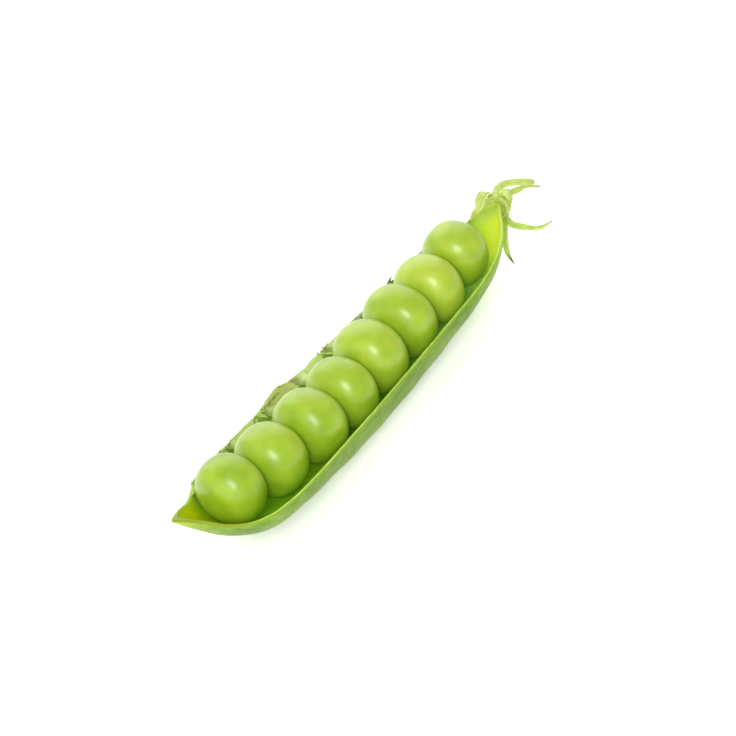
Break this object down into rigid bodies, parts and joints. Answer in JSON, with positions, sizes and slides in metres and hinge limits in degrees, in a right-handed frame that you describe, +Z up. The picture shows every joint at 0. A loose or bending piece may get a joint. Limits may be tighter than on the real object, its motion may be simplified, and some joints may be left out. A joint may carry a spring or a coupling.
{
  "type": "pea pod",
  "caption": "Opened garden pea pod: a boat-shaped green pod half on its back, holding a close row of round peas, with a leafy calyx and a short stalk at one end.",
  "frame": {"origin": "middle of the footprint's bounding box, on the surface that the pod lies on", "axes": "+X along the pod, from the beak to the stem; +Y from the dorsal rim to the ventral rim, which carries the seed strand; +Z up, out of the opening"},
  "size_m": [0.0876, 0.0174, 0.0136],
  "materials": {
    "pod_green": "smooth waxy green skin with a thin whitish bloom",
    "pea_green": "smooth, moist and slightly translucent",
    "strand_pale": "pale fibrous cord",
    "calyx_green": "thin soft leaf with dry tips"
  },
  "bodies": {
    "root": {"valve": "pod_green", "pea_1": "pea_green", "pea_2": "pea_green", "pea_3": "pea_green", "pea_4": "pea_green", "pea_5": "pea_green", "pea_6": "pea_green", "pea_7": "pea_green", "pea_8": "pea_green", "seed_strand": "strand_pale", "calyx": "calyx_green", "pedicel": "calyx_green"}
  },
  "joints": []
}
